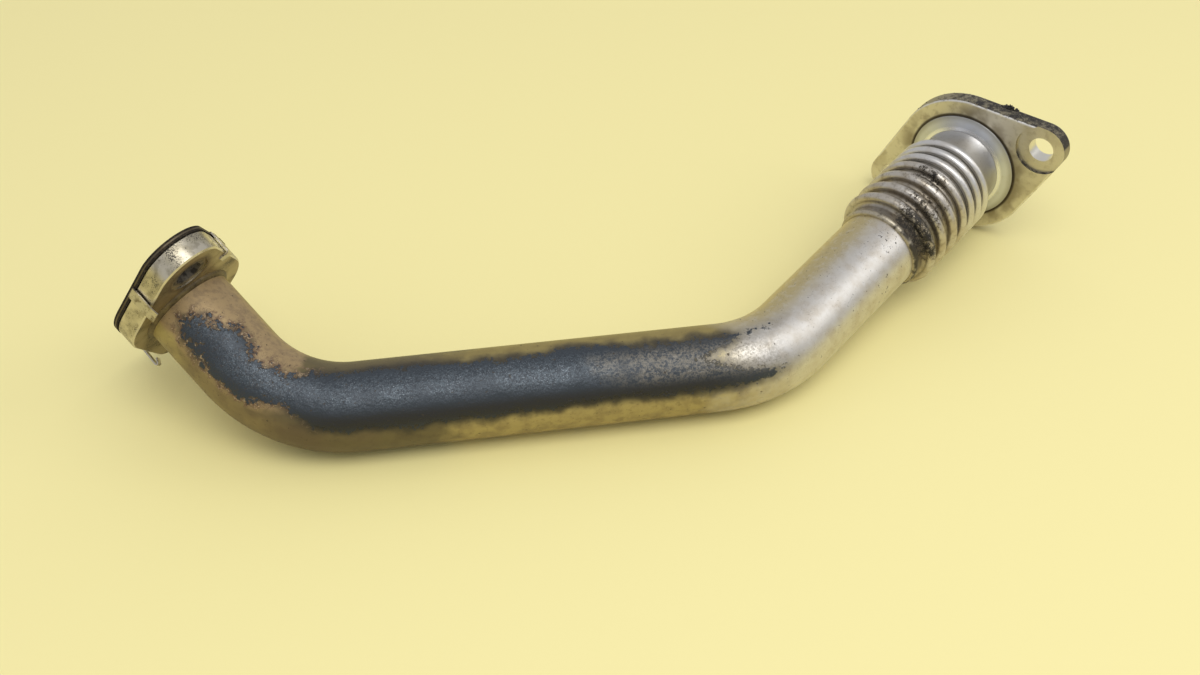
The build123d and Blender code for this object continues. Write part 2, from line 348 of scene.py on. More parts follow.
class Finish(Graph):
    """Material with one metal surface, built up in layers."""

    def __init__(self, name, colour, roughness, metallic=1.0):
        self.material = bpy.data.materials.new(name)
        self.material.use_nodes = True
        super().__init__(self.material.node_tree)
        self.surface = self.tree.nodes["Principled BSDF"]
        self.surface.inputs["Metallic"].default_value = metallic
        self.surface.inputs["Roughness"].default_value = roughness
        self.place = self.node("ShaderNodeTexCoord").outputs["Object"]
        self.normal = self.node("ShaderNodeNewGeometry").outputs["Normal"]
        self.colour = colour
        self.shine = roughness
        self.metal = metallic
        self.height = 0.0

    def mix(self, factor, first, second):
        """Colour between two colours."""
        inputs = {0: factor, 6: first, 7: second}
        return self.node("ShaderNodeMix", inputs, data_type="RGBA").outputs[2]

    def blend(self, factor, first, second):
        """Number between two numbers."""
        return self.first("ShaderNodeMix", {0: factor, 2: first, 3: second})

    def grain(self, size, *settings):
        """Even noise over the surface."""
        return self.noise(self.place, size, *settings)

    def layer(self, mask, colour, roughness=None, metallic=None, share=1.0):
        """Covers a share of what lies under it where the mask is one."""
        if share != 1.0:
            mask = mask * share
        self.colour = self.mix(mask, self.colour, colour)
        if roughness is not None:
            self.shine = self.blend(mask, self.shine, roughness)
        if metallic is not None:
            self.metal = self.blend(mask, self.metal, metallic)

    def rise(self, value, amount):
        """Adds a share of a value to the relief."""
        self.height = value * amount + self.height

    def read(self, name):
        """Number kept on the mesh."""
        kept = self.node("ShaderNodeAttribute", attribute_name=name)
        return Field(self, kept.outputs["Fac"])

    def read_vector(self, name):
        """Vector kept on the mesh."""
        return self.node("ShaderNodeAttribute", attribute_name=name).outputs["Vector"]

    def done(self, relief=0.0, strength=0.6):
        """Joins the layers to the surface and returns the material."""
        self.feed(self.surface.inputs["Base Color"], self.colour)
        self.feed(self.surface.inputs["Roughness"], self.shine)
        self.feed(self.surface.inputs["Metallic"], self.metal)
        if relief:
            bump = self.node(
                "ShaderNodeBump", {"Strength": strength, "Distance": relief, "Height": self.height})
            self.feed(self.surface.inputs["Normal"], bump.outputs[0])
        return self.material


def panel_colour(name):
    """Colour that the panel holds, as a plain tuple."""
    return tuple(getattr(bpy.context.scene.pipe_colours, name))


def angle_and_length(finish):
    """Angle from the top towards the front in degrees, and length in millimetres."""
    angle = finish.angle(finish.read_vector("around"))
    return angle, finish.read("along") * IN_MM


def tube_finish():
    """Bare steel that goes brown, tan and blue-black towards the hot end."""
    finish = Finish("scaled_tube_steel", panel_colour("brown_steel"), 0.46, 0.55)
    angle, length = angle_and_length(finish)
    coarse = finish.grain(12 * MM, 3)
    blotch = finish.grain(5.5 * MM, 4, 0.5)
    middle = finish.grain(2.2 * MM, 4, 0.6)
    fine = finish.grain(0.9 * MM, 3, 0.6)
    dust = finish.grain(0.35 * MM, 2, 0.5)
    wander = coarse * 40.0 - 20.0
    wandering_length = length + wander
    crown = finish.band(angle, 14, 56, 12) * 10.0
    clean = finish.spread(wandering_length + crown, 184, 216)
    browned_base(finish, angle, blotch, middle, clean, wandering_length)
    tan_mask = tan_layers(finish, blotch, middle)
    scale = finish.read("scale")
    hot_end = finish.spread(length, 62, 40)
    under_shade = finish.spread(blotch * 0.6 + scale, 0.3, 0.95)
    under_shade = under_shade * (clean * -0.7 + 0.9)
    finish.layer(under_shade, (0.040, 0.035, 0.026, 1), 0.45, 0.5)
    grain = fine * 0.7 - 0.35
    breakup = hot_end * 1.1 + 1.0
    flake = (middle - 0.5) * breakup
    ragged = scale + grain + flake
    rust_mask = finish.spread(ragged, 0.1, 0.42) * (hot_end * 0.9)
    rust_mask = rust_mask * finish.spread(middle, 0.36, 0.56, 0.15, 1.0)
    finish.layer(rust_mask, panel_colour("rust"), 0.6, 0.3)
    flaky = finish.band(ragged, 0.34, 0.62, 0.05) * finish.spread(fine, 0.5, 0.6)
    finish.layer(flaky * hot_end, (0.4, 0.29, 0.17, 1), 0.6, 0.2)
    late = finish.spread(length, 50, 110, 0.0, 0.16)
    scale_mask = finish.spread(ragged - late, 0.42, 0.62)
    finish.layer(scale_mask, panel_colour("scale"), 0.42, 0.4)
    scale_tones(finish, angle, length, wandering_length, scale_mask, coarse, middle, fine, dust)
    marks(finish, scale, tan_mask, clean, blotch, dust)
    spill = finish.spread(length, 240, 272) * finish.band(angle, 5, 50, 14)
    spill = spill * 0.22 + (middle * 0.5 + fine)
    finish.layer(finish.spread(spill, 1.06, 1.14), (0.045, 0.038, 0.028, 1), 0.45, 0.4)
    patchy = finish.spread(blotch, 0.35, 0.6, 0.35, 1.0)
    crusty = scale_mask * patchy
    finish.rise(scale_mask, 0.6)
    finish.rise(crusty * fine, 1.6)
    finish.rise(crusty * middle, 0.8)
    finish.rise(tan_mask * middle, 0.35)
    finish.rise(middle, 0.12)
    finish.rise(dust, 0.05)
    return finish.done(0.16 * MM, 0.75)


def browned_base(finish, angle, blotch, middle, clean, wandering_length):
    """Stains on the browned steel, burnt dark after the first bend and clean at the far end, with
    painted floor reflections on the back and painted shade on the underside near the gasket end.
    """
    stain = finish.spread(blotch, 0.40, 0.66)
    finish.layer(stain, (0.17, 0.125, 0.062, 1), 0.5, share=0.5)
    finish.layer(finish.spread(middle, 0.54, 0.7), (0.09, 0.066, 0.036, 1), 0.55, share=0.35)
    # Painted reflection of the floor: a dark olive-yellow on the back of the tube, from just behind
    # its top
    upper = finish.spread(angle, 15, -18) * 0.65
    finish.layer(upper, (0.29, 0.22, 0.055, 1), 0.48, 0.7)
    burnt = finish.band(wandering_length, 44, 100, 9)
    finish.layer(burnt, (0.085, 0.067, 0.036, 1), 0.48, 0.5, share=0.8)
    # Painted shade: the underside of the tube near the gasket end is darkened
    painted_underside_shade = finish.band(wandering_length, 14, 66, 12) * finish.band(angle, 66, 130, 14)
    finish.layer(painted_underside_shade, (0.13, 0.090, 0.055, 1), 0.5, share=0.6)
    finish.layer(clean, panel_colour("bare_steel"), 0.39, 1.0)
    tint = finish.spread(blotch, 0.4, 0.7) * 0.4
    finish.layer(tint * clean, (0.43, 0.36, 0.26, 1), 0.44)
    # Painted reflection of the yellow floor on the far side of the clean steel
    painted_far_side_reflection = finish.spread(angle, 14, -22) * clean
    finish.layer(painted_far_side_reflection, (0.55, 0.45, 0.21, 1), 0.42, share=0.9)
    haze = finish.spread(middle, 0.48, 0.66) * clean
    finish.layer(haze, (0.72, 0.71, 0.69, 1), 0.34, share=0.2)


def tan_layers(finish, blotch, middle):
    """Tan oxide of the gasket end, and how surely it covers each spot."""
    tan_edge = blotch - 0.5
    tan_mask = finish.spread(finish.read("tan") + tan_edge, 0.25, 0.75)
    finish.layer(tan_mask, panel_colour("tan_oxide"), 0.48, 0.45)
    tan_shade = tan_mask * finish.spread(middle, 0.42, 0.65)
    finish.layer(tan_shade, (0.19, 0.132, 0.075, 1), 0.55, 0.3, share=0.55)
    return tan_mask


def scale_tones(finish, angle, length, wandering_length, scale_mask, coarse, middle, fine, dust):
    """Painted sheen and painted glints on the scale's upper front, a near-black strip along its
    lower front, and mottled stretches near its end.
    """
    # Painted sheen: a lighter blue-grey on the upper front of the scale where the lamps reflect,
    # with painted glints on its fine grain
    pale = finish.band(angle, 8, 48, 12) * finish.band(length, 8, 152, 16)
    uneven = finish.spread(coarse, 0.32, 0.6, 0.35, 1.0)
    painted_scale_sheen = scale_mask * (pale * uneven)
    finish.layer(painted_scale_sheen * finish.spread(fine, 0.38, 0.66), (0.068, 0.085, 0.099, 1), 0.38, 0.5)
    painted_scale_glints = painted_scale_sheen * finish.spread(dust, 0.58, 0.68)
    finish.layer(painted_scale_glints, (0.25, 0.28, 0.305, 1), 0.32, 0.6, share=0.6)
    mottle = finish.band(wandering_length, 152, 206, 10) * finish.band(angle, 12, 60, 10)
    grainy = fine * 0.4 + middle * 0.3
    grainy = dust * 0.3 + grainy
    mottle = mottle * finish.spread(grainy, 0.42, 0.58)
    finish.layer(mottle, (0.19, 0.17, 0.135, 1), 0.42, 0.7, share=0.75)
    strip = finish.band(angle, 58, 78, 8) * finish.band(length, 52, 196, 12)
    finish.layer(strip, (0.020, 0.018, 0.015, 1), 0.45, 0.4, share=0.85)


def marks(finish, scale, tan_mask, clean, blotch, dust):
    """Rust spots, dark specks, and the hairlines that heat leaves on the steel."""
    spot = finish.spread(finish.grain(1.7 * MM, 3, 0.6), 0.665, 0.72)
    finish.layer(spot, (0.045, 0.032, 0.018, 1), 0.6, 0.3, share=0.8)
    speck = finish.spread(dust, 0.665, 0.73) * finish.spread(blotch, 0.48, 0.62)
    finish.layer(speck, (0.04, 0.035, 0.028, 1), 0.5, 0.4, share=0.75)
    squiggle = finish.grain(4.2 * MM, 2, 0.5, 1.6)
    off_line = abs(squiggle - 0.53)
    hairline = finish.spread(off_line, 0.007, 0.0) * (clean * 0.4)
    finish.layer(hairline, (0.12, 0.095, 0.06, 1), 0.5)
    crack = finish.spread(off_line, 0.02, 0.004) * finish.spread(scale, -0.35, 0.2)
    finish.layer(crack * tan_mask, (0.05, 0.034, 0.022, 1), 0.6, 0.2, share=0.45)


def bore_finish():
    """Soot that coats the inside of the tube."""
    finish = Finish("sooted_bore", panel_colour("soot"), 0.8, 0.1)
    dust = finish.grain(1.5 * MM, 4)
    finish.layer(finish.spread(dust, 0.45, 0.75), (0.045, 0.040, 0.034, 1), 0.9)
    finish.rise(dust, 1.0)
    return finish.done(0.3 * MM)


def weld_finish():
    """Dark weld bead with ripples and soot."""
    finish = Finish("sooty_weld_steel", (0.15, 0.115, 0.06, 1), 0.5, 0.7)
    ripple = finish.grain(0.9 * MM, 3)
    patch = finish.grain(5 * MM, 3)
    finish.layer(finish.spread(patch, 0.40, 0.66), (0.085, 0.064, 0.036, 1), 0.5)
    finish.layer(finish.spread(ripple, 0.50, 0.70), (0.035, 0.028, 0.020, 1), 0.6, share=0.5)
    finish.rise(ripple, 1.0)
    return finish.done(0.08 * MM)


def cuff_weld_finish():
    """Bead at the cuff: browned steel, and soot on the side that faces the front."""
    finish = Finish("browned_cuff_weld", (0.46, 0.41, 0.31, 1), 0.42)
    ripple = finish.grain(0.8 * MM, 3)
    patch = finish.grain(3 * MM, 4, 0.6)
    across = cuff_direction().cross(Vector((0, 0, 1))).normalized()
    front = finish.dot(finish.normal, across)
    finish.layer(finish.spread(ripple, 0.42, 0.70), (0.22, 0.18, 0.12, 1), 0.5, share=0.35)
    field = front * 0.6 + (patch * 2.0 - 1.0)
    finish.layer(finish.spread(field, 0.05, 0.55), (0.045, 0.037, 0.027, 1), 0.42, 0.5)
    finish.rise(ripple, 1.0)
    return finish.done(0.15 * MM)


def facing_finish():
    """Black graphite facing, dry and slightly frayed."""
    finish = Finish("graphite_facing", panel_colour("gasket"), 0.9, 0.0)
    finish.surface.inputs["Specular IOR Level"].default_value = 0.15
    fray = finish.grain(0.8 * MM, 4, 0.6)
    finish.layer(finish.spread(fray, 0.40, 0.75), (0.060, 0.045, 0.028, 1))
    finish.rise(fray, 1.0)
    return finish.done(0.15 * MM)


def core_finish():
    """Thin sheet of the gasket's core and its tabs, smudged brown."""
    finish = Finish("gasket_core_steel", (0.50, 0.46, 0.37, 1), 0.34)
    smudge = finish.grain(2.4 * MM, 4)
    finish.layer(finish.spread(smudge, 0.48, 0.68), (0.24, 0.20, 0.13, 1), 0.5)
    fleck = finish.spread(finish.grain(0.6 * MM, 2), 0.66, 0.72)
    finish.layer(fleck, (0.04, 0.033, 0.025, 1), 0.6)
    low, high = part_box("gasket_inner_facing")
    far_low, far_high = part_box("gasket_outer_facing")
    axis = mount_place("inlet_bolts")[1]
    middle = (low + high + far_low + far_high) / 4
    depth = finish.dot(finish.from_point(finish.place, middle), axis)
    edge = finish.spread(abs(depth), 0.4 * MM, 0.25 * MM)
    finish.layer(edge, (0.085, 0.064, 0.036, 1), 0.5, share=0.9)
    finish.rise(smudge, 1.0)
    return finish.done(0.06 * MM)


def gasket_flange_finish():
    """Bright worn rim, and a near face that is brown with baked dirt and partly a painted
    reflection.
    """
    finish = Finish("worn_flange_steel", panel_colour("rim_steel"), 0.30)
    facing = finish.dot(finish.normal, mount_place("inlet_bolts")[1])
    fine = finish.grain(0.45 * MM, 3, 0.65)
    middle = finish.grain(3.0 * MM, 4)
    coarse = finish.grain(9 * MM, 3)
    finish.layer(finish.spread(coarse, 0.42, 0.6), (0.36, 0.32, 0.22, 1), 0.4, share=0.7)
    finish.layer(finish.spread(middle, 0.5, 0.66), (0.22, 0.19, 0.13, 1), 0.42, share=0.5)
    # Near face: a browner colour, partly baked dirt and partly a painted reflection
    face = finish.spread(facing, -0.6, -0.95)
    finish.layer(face, (0.38, 0.31, 0.18, 1), 0.42, 0.9)
    smudge = face * finish.spread(coarse, 0.4, 0.66)
    finish.layer(smudge, (0.17, 0.13, 0.07, 1), 0.5, 0.8, share=0.7)
    bolt = upper_bolt("inlet_bolts")
    away = finish.vector_math("LENGTH", finish.from_point(finish.place, bolt))
    ring = face * finish.band(away * IN_MM, 9.8, 11.4, 0.8)
    finish.layer(ring, (0.10, 0.065, 0.035, 1), 0.55, 0.5, share=0.75)
    wall = finish.spread(away * IN_MM, 9.6, 8.8)
    finish.layer(wall, (0.15, 0.13, 0.10, 1), 0.5, 0.7, share=0.9)
    finish.layer(wall * finish.spread(middle, 0.44, 0.58), (0.04, 0.033, 0.024, 1), 0.6, 0.4)
    dirt = finish.spread(coarse * 0.9 + fine, 1.06, 1.16)
    finish.layer(dirt, (0.030, 0.026, 0.022, 1), 0.55, 0.4, share=0.9)
    edge = finish.band(abs(facing), 0.4, 0.85, 0.15)
    finish.layer(edge, (0.66, 0.62, 0.53, 1), 0.25, share=0.7)
    finish.rise(fine, 0.6)
    finish.rise(middle, 0.8)
    return finish.done(0.06 * MM, 0.5)


def bellows_finish():
    """Satin stainless rings with painted shade in every groove, sooted in the grooves and at the
    tube's side.
    """
    finish = Finish("sooted_bellows_steel", panel_colour("bellows_steel"), 0.36)
    angle, length = angle_and_length(finish)
    groove = finish.read("groove")
    dust = finish.grain(0.4 * MM, 3, 0.65)
    middle = finish.grain(1.8 * MM, 4, 0.6)
    coarse = finish.grain(6 * MM, 3)
    finish.layer(finish.spread(coarse, 0.4, 0.65), (0.54, 0.49, 0.41, 1), 0.42, share=0.4)
    # Painted shade: darker colour in every groove of the bellows
    finish.layer(groove, (0.32, 0.295, 0.25, 1), 0.46, share=0.35)
    tube_side = finish.spread(length, 106, 92)
    brown = tube_side * finish.spread(coarse, 0.25, 0.7, 0.45, 1.0)
    finish.layer(brown, (0.43, 0.365, 0.265, 1), 0.40, share=0.75)
    faint = tube_side * finish.spread(middle, 0.46, 0.66)
    finish.layer(faint, (0.22, 0.18, 0.125, 1), 0.44, share=0.35)
    deep = tube_side * finish.spread(groove, 0.45, 1.0)
    near_side = finish.band(angle, -15, 100, 25)
    deep = deep * (near_side * 0.55 + 0.25)
    finish.layer(deep, (0.085, 0.068, 0.045, 1), 0.5)
    soot_field = soot_on_bellows(finish, angle, length)
    ragged = soot_field + (middle * 1.5 - 0.75)
    ragged = ragged + (dust * 1.3 - 0.65)
    haze = finish.spread(ragged, 0.10, 0.60)
    finish.layer(haze, (0.13, 0.10, 0.066, 1), 0.4, share=0.6)
    soot = finish.spread(ragged, 0.42, 0.68)
    finish.layer(soot, (0.030, 0.026, 0.021, 1), 0.34, 0.5)
    inside = finish.read("inside") * finish.spread(middle, 0.2, 0.6, 0.75, 1.0)
    finish.layer(inside, (0.030, 0.027, 0.023, 1), 0.7, 0.2)
    finish.rise(soot, 1.0)
    finish.rise(soot * dust, 1.2)
    finish.rise(middle, 0.12)
    return finish.done(0.14 * MM, 0.7)


def soot_on_bellows(graph, angle, length):
    """How surely soot covers a spot of the bellows, from its angle and length."""
    first_ring = graph.band(length, 70, 80, 2) * graph.band(angle, 12, 88, 14)
    groove_chain = graph.band(length, 78, 90, 4) * graph.band(angle, 8, 62, 14)
    patch = graph.band(length, 90, 98, 2) * graph.band(angle, -8, 34, 12)
    return graph.most(first_ring * 0.62, groove_chain * 0.42, patch * 0.5)


def off_outlet_line(graph, place):
    """Distance from the line through the bellows flange's bore, in millimetres."""
    centre, axis = mount_place("outlet_bolts")
    out = graph.vector_math("CROSS_PRODUCT", graph.from_point(place, centre), tuple(axis))
    return graph.vector_math("LENGTH", out) * IN_MM


def collar_finish():
    """Bluish steel of the dished collar, with a painted highlight along the crease round the neck
    and painted shade towards its outer edge.
    """
    finish = Finish("bright_collar_steel", (0.56, 0.575, 0.605, 1), 0.32)
    middle = finish.grain(4 * MM, 3)
    off_line = off_outlet_line(finish, finish.place)
    finish.layer(finish.spread(middle, 0.48, 0.72), (0.48, 0.46, 0.41, 1), 0.36, share=0.4)
    # Painted highlight along the crease round the neck, and painted shade towards the collar's
    # outer edge
    finish.layer(finish.band(off_line, 15.6, 17.0, 0.5), (0.80, 0.81, 0.83, 1), 0.24)
    finish.layer(finish.spread(off_line, 18.6, 20.6), (0.36, 0.35, 0.32, 1), 0.38, share=0.75)
    mark = finish.spread(finish.grain(1.4 * MM, 2, 0.4), 0.77, 0.80)
    finish.layer(mark, (0.06, 0.05, 0.04, 1), 0.5)
    finish.rise(middle, 1.0)
    return finish.done(0.03 * MM)


def bellows_flange_finish():
    """Stained plate with worn bright edges, soot on its upper side, and painted shade round the
    collar.
    """
    finish = Finish("stained_flange_steel", panel_colour("plate_steel"), 0.38)
    centre, axis = mount_place("outlet_bolts")
    facing = finish.dot(finish.normal, axis)
    off_line = off_outlet_line(finish, finish.place)
    up = finish.up(finish.normal)
    coarse = finish.grain(9 * MM, 3)
    middle = finish.grain(2.6 * MM, 4, 0.55)
    dust = finish.grain(0.5 * MM, 3, 0.65)
    finish.layer(finish.spread(coarse, 0.42, 0.66), (0.52, 0.47, 0.36, 1), 0.42, share=0.6)
    finish.layer(finish.spread(middle, 0.50, 0.70), (0.34, 0.29, 0.20, 1), 0.46, share=0.35)
    near_collar = finish.spread(off_line, 27.5, 22.5)
    shaded = near_collar * finish.spread(coarse, 0.35, 0.6)
    near_face = finish.spread(facing, -0.2, -0.8)
    finish.layer(shaded * (near_face * 0.6), (0.22, 0.175, 0.11, 1), 0.46)
    # Painted shade in the crease at the collar's foot: a dark ring on the near face
    groove = finish.band(off_line, 20.0, 21.9, 0.4) * near_face
    finish.layer(groove, (0.055, 0.042, 0.028, 1), 0.55, share=0.9)
    side = finish.spread(abs(facing), 0.7, 0.3)
    finish.layer(side, (0.19, 0.155, 0.075, 1), 0.46, 0.75, share=0.8)
    topside = finish.spread(up, 0.2, 0.7) * side
    ear_way = (upper_bolt("outlet_bolts") - centre).normalized()
    to_ear = finish.dot(finish.from_point(finish.place, centre), ear_way)
    ear_side = finish.spread(to_ear, -10 * MM, 20 * MM, 0.30, 0.95)
    soot_field = ear_side + (middle * 1.6 - 0.8)
    soot_field = soot_field + (dust - 0.5)
    soot = finish.spread(soot_field, 0.6, 1.05) * finish.spread(topside, 0.05, 0.3)
    clear = outside_holes(finish, finish.place, finish.normal)
    finish.layer(1.0 - clear, (0.76, 0.73, 0.64, 1), 0.3, 1.0)
    soot = soot * (clear * finish.spread(off_line, 18, 20))
    finish.layer(soot, (0.024, 0.020, 0.015, 1), 0.7, 0.1)
    edge = finish.band(abs(facing), 0.3, 0.9, 0.1)
    chips = edge * finish.spread(middle, 0.44, 0.54)
    finish.layer(chips, (0.74, 0.72, 0.67, 1), 0.28, 1.0, share=0.85)
    finish.rise(soot, 1.0)
    finish.rise(soot * dust, 1.5)
    finish.rise(middle, 0.15)
    return finish.done(0.12 * MM, 0.6)


def outside_holes(graph, place, normal):
    """Nothing on the walls of the bellows flange's bolt holes and spot faces, and one elsewhere."""
    centre, _ = mount_place("outlet_bolts")
    kept = 1.0
    for bolt in (upper_bolt("outlet_bolts"), centre * 2 - upper_bolt("outlet_bolts")):
        out = graph.from_point(place, bolt)
        near = graph.math("LESS_THAN", graph.vector_math("LENGTH", out), 11 * MM)
        inward = graph.math("LESS_THAN", graph.dot(out, normal), 0.0)
        kept = kept - near * inward
    return kept


def crumb_finish():
    """Grains of soot and burnt oil."""
    finish = Finish("soot_crumbs", panel_colour("soot"), 0.5, 0.2)
    grain = finish.grain(0.6 * MM, 3)
    finish.layer(finish.spread(grain, 0.5, 0.7), (0.06, 0.048, 0.034, 1), 0.6)
    finish.rise(grain, 1.0)
    return finish.done(0.1 * MM)


def link(name, data):
    """New object at the origin that holds a mesh, a lamp or a camera."""
    piece = bpy.data.objects.new(name, data)
    bpy.context.scene.collection.objects.link(piece)
    return piece


def settle(piece, node=None):
    """The piece rides on the pipe and, where a solid is named, hides that solid so that the piece
    shows in its place.
    """
    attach(piece, BODY)
    if node:
        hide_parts(node)


def welded_copy(node, name, material):
    """Copy of a solid's mesh with joined corners, smooth where the form is round."""
    mesh = frame["nodes"][node].data.copy()
    mesh.name = name
    mesh.attributes.remove(mesh.attributes["custom_normal"])
    shell = bmesh.new()
    shell.from_mesh(mesh)
    bmesh.ops.remove_doubles(shell, verts=shell.verts, dist=WELD_SLACK)
    shell.to_mesh(mesh)
    shell.free()
    mesh.materials.clear()
    mesh.materials.append(material)
    for polygon in mesh.polygons:
        polygon.use_smooth = True
        polygon.material_index = 0
    mesh.set_sharp_from_angle(angle=SMOOTH_ANGLE)
    return link(name, mesh)


def first_corner():
    """Where the gasket leg meets the straight run, at the height of the tube's centre."""
    sizes = bpy.context.scene.pipe_sizes
    end, axis = mount_place("inlet_bore")
    return end - axis * ((end.z - sizes.outside / 2) / axis.z)


def cuff_direction():
    """Direction of the bellows leg, from its corner to the weld at the cuff."""
    sizes = bpy.context.scene.pipe_sizes
    low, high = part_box("bellows_weld")
    corner = first_corner() + Vector((sizes.straight_run, 0, 0))
    return ((low + high) / 2 - corner).normalized()


def tube_route():
    """Corners of the tube's centre line, from the gasket end to the bellows end."""
    sizes = bpy.context.scene.pipe_sizes
    end, _ = mount_place("inlet_bore")
    start = first_corner()
    corner = start + Vector((sizes.straight_run, 0, 0))
    return [end, start, corner, corner + cuff_direction() * sizes.bellows_leg]


def nodes_modifier(piece, tree, values):
    """Puts a geometry tree on a piece, with values for its inputs by name."""
    modifier = piece.modifiers.new(tree.name, "NODES")
    modifier.node_group = tree
    for socket in tree.interface.items_tree:
        if socket.name in values:
            modifier[socket.identifier] = values[socket.name]


def baked(piece, name):
    """Plain mesh of a piece with its modifiers worked out, in place of the piece."""
    bpy.context.view_layer.update()
    graph = bpy.context.evaluated_depsgraph_get()
    mesh = bpy.data.meshes.new_from_object(piece.evaluated_get(graph))
    bpy.data.objects.remove(piece)
    mesh.name = name
    return link(name, mesh)


def new_tree(name, inputs):
    """Geometry tree with one geometry in and out, and with inputs by name and kind."""
    tree = bpy.data.node_groups.new(name, "GeometryNodeTree")
    tree.interface.new_socket(name="Geometry", in_out="INPUT", socket_type="NodeSocketGeometry")
    tree.interface.new_socket(name="Geometry", in_out="OUTPUT", socket_type="NodeSocketGeometry")
    for label, kind in inputs.items():
        tree.interface.new_socket(name=label, in_out="INPUT", socket_type="NodeSocket" + kind)
    return tree


def captured(graph, geometry, field, data_type):
    """Geometry that remembers a field, and the field."""
    made = graph.node("GeometryNodeCaptureAttribute")
    made.capture_items.new(data_type, "value")
    graph.feed(made.inputs["Geometry"], geometry)
    graph.feed(made.inputs[1], field)
    return made.outputs["Geometry"], Field(graph, made.outputs[1])


# Length of tube that carries the marks of heat, in millimetres
MARKED_LENGTH = 280

# Span of angles that the edges of the scale use, from its end behind the top, in degrees
SPAN_START = -20.0
SPAN = 100.0

# Edges of the scale, each a row of shares of that length with shares of that span
UPPER_EDGE = (
    (0.0, 0.75), (0.02, 0.55), (0.035, 0.38), (0.055, 0.38), (0.07, 0.22), (0.09, 0.20),
    (0.12, 0.36), (0.17, 0.34), (0.20, 0.22), (0.25, 0.14), (0.42, 0.20), (0.50, 0.12),
    (0.60, 0.22), (0.78, 0.18), (1.0, 0.2),
)
LOWER_EDGE = (
    (0.0, 0.50), (0.04, 0.82), (0.12, 0.88), (0.17, 0.74), (0.20, 0.94), (0.30, 1.02),
    (0.48, 1.0), (0.54, 0.93), (0.62, 1.0), (0.70, 0.98), (0.78, 0.88), (1.0, 0.7),
)


def scale_field(graph, angle, length, place):
    """How surely the blue-black scale covers a spot: a half at its ragged edge."""
    share = length * (1 / MARKED_LENGTH)
    upper = graph.curve(share, UPPER_EDGE)
    lower = graph.curve(share, LOWER_EDGE)
    upper_angle = upper * SPAN + SPAN_START
    lower_angle = lower * SPAN + SPAN_START
    wander = graph.noise(place, 9 * MM, 3) * 24.0 - 12.0
    angle = angle + wander
    length = length + wander
    over = (angle - upper_angle) / 30.0
    under = (lower_angle - angle) / 24.0
    begin = (length - 6.0) / 8.0
    late = graph.least(abs(angle - 34.0), 30.0) * 0.8
    end = (186.0 + late - length) / 24.0
    field = graph.least(over, under, begin, end)
    island = graph.band(length, 8, 26, 4) * graph.band(angle, 24, 54, 8)
    field = field - island * 0.36
    return graph.least(graph.most(field, -1.0), 0.75) + 0.5


def swept_tube_tree(material):
    """Tube swept along its route, with its length and angle kept on it."""
    tree = new_tree("swept_tube", {
        "Outside Radius": "Float", "Bend Radius": "Float", "Step": "Float", "Facets": "Int",
        "Crust": "Float", "Covered": "Float"})
    graph = Graph(tree)
    given = graph.node("NodeGroupInput").outputs
    path = graph.first("GeometryNodeMeshToCurve", {0: given["Geometry"]})
    path = graph.first(
        "GeometryNodeFilletCurve", {"Curve": path, "Radius": given["Bend Radius"], "Count": 60},
        mode="POLY")
    path = graph.first(
        "GeometryNodeResampleCurve", {"Curve": path, "Length": given["Step"]}, mode="LENGTH")
    path = graph.first("GeometryNodeSetCurveNormal", {0: path}, mode="Z_UP")
    place = graph.first("GeometryNodeInputPosition")
    path, centre = captured(graph, path, place, "VECTOR")
    path, heading = captured(graph, path, graph.first("GeometryNodeInputTangent"), "VECTOR")
    reached = graph.node("GeometryNodeSplineParameter").outputs["Length"]
    path, along = captured(graph, path, reached, "FLOAT")
    ring = graph.first("GeometryNodeCurvePrimitiveCircle", {
        "Resolution": given["Facets"], "Radius": given["Outside Radius"]})
    shape = graph.first("GeometryNodeCurveToMesh", {"Curve": path, "Profile Curve": ring})
    outward = graph.vector_math("NORMALIZE", graph.from_point(place, centre))
    front = graph.vector_math("NORMALIZE", graph.vector_math("CROSS_PRODUCT", heading, (0, 0, 1)))
    upward = graph.vector_math("CROSS_PRODUCT", front, heading)
    cosine = graph.dot(outward, upward)
    sine = graph.dot(outward, front)
    around = graph.first("ShaderNodeCombineXYZ", {"X": cosine, "Y": sine})
    angle = graph.math("ARCTAN2", sine, cosine) * IN_DEGREES
    seen = along - given["Covered"]
    length = seen * IN_MM
    scale = scale_field(graph, angle, length, place)
    tan = graph.band(length, -25, 47, 9) * graph.band(angle, -52, 72, 16)
    shape = store(graph, shape, "along", seen)
    shape = store(graph, shape, "around", around, "FLOAT_VECTOR")
    shape = store(graph, shape, "scale", scale)
    shape = store(graph, shape, "tan", tan)
    grit = graph.noise(place, 1.1 * MM, 3, 0.6)
    lumps = graph.spread(grit * 0.9 + scale, 0.85, 1.35)
    lumps = lumps * graph.spread(angle, 88, 70)
    lift = lumps * given["Crust"]
    shape = graph.first(
        "GeometryNodeSetPosition", {"Geometry": shape, "Offset": graph.scaled(outward, lift)})
    shape = graph.first("GeometryNodeSetShadeSmooth", {0: shape})
    dress(graph, shape, material)
    return tree


def dress(graph, shape, material):
    """Ends a tree: makes its shape whole and gives it a material."""
    shape = graph.first("GeometryNodeRealizeInstances", {0: shape})
    shape = graph.first("GeometryNodeSetMaterial", {"Geometry": shape, "Material": material})
    graph.node("NodeGroupOutput", {0: shape})


def store(graph, geometry, name, value, data_type="FLOAT"):
    """Keeps a field on the mesh under a name."""
    return graph.first(
        "GeometryNodeStoreNamedAttribute", {"Geometry": geometry, "Name": name, "Value": value},
        data_type=data_type, domain="POINT")


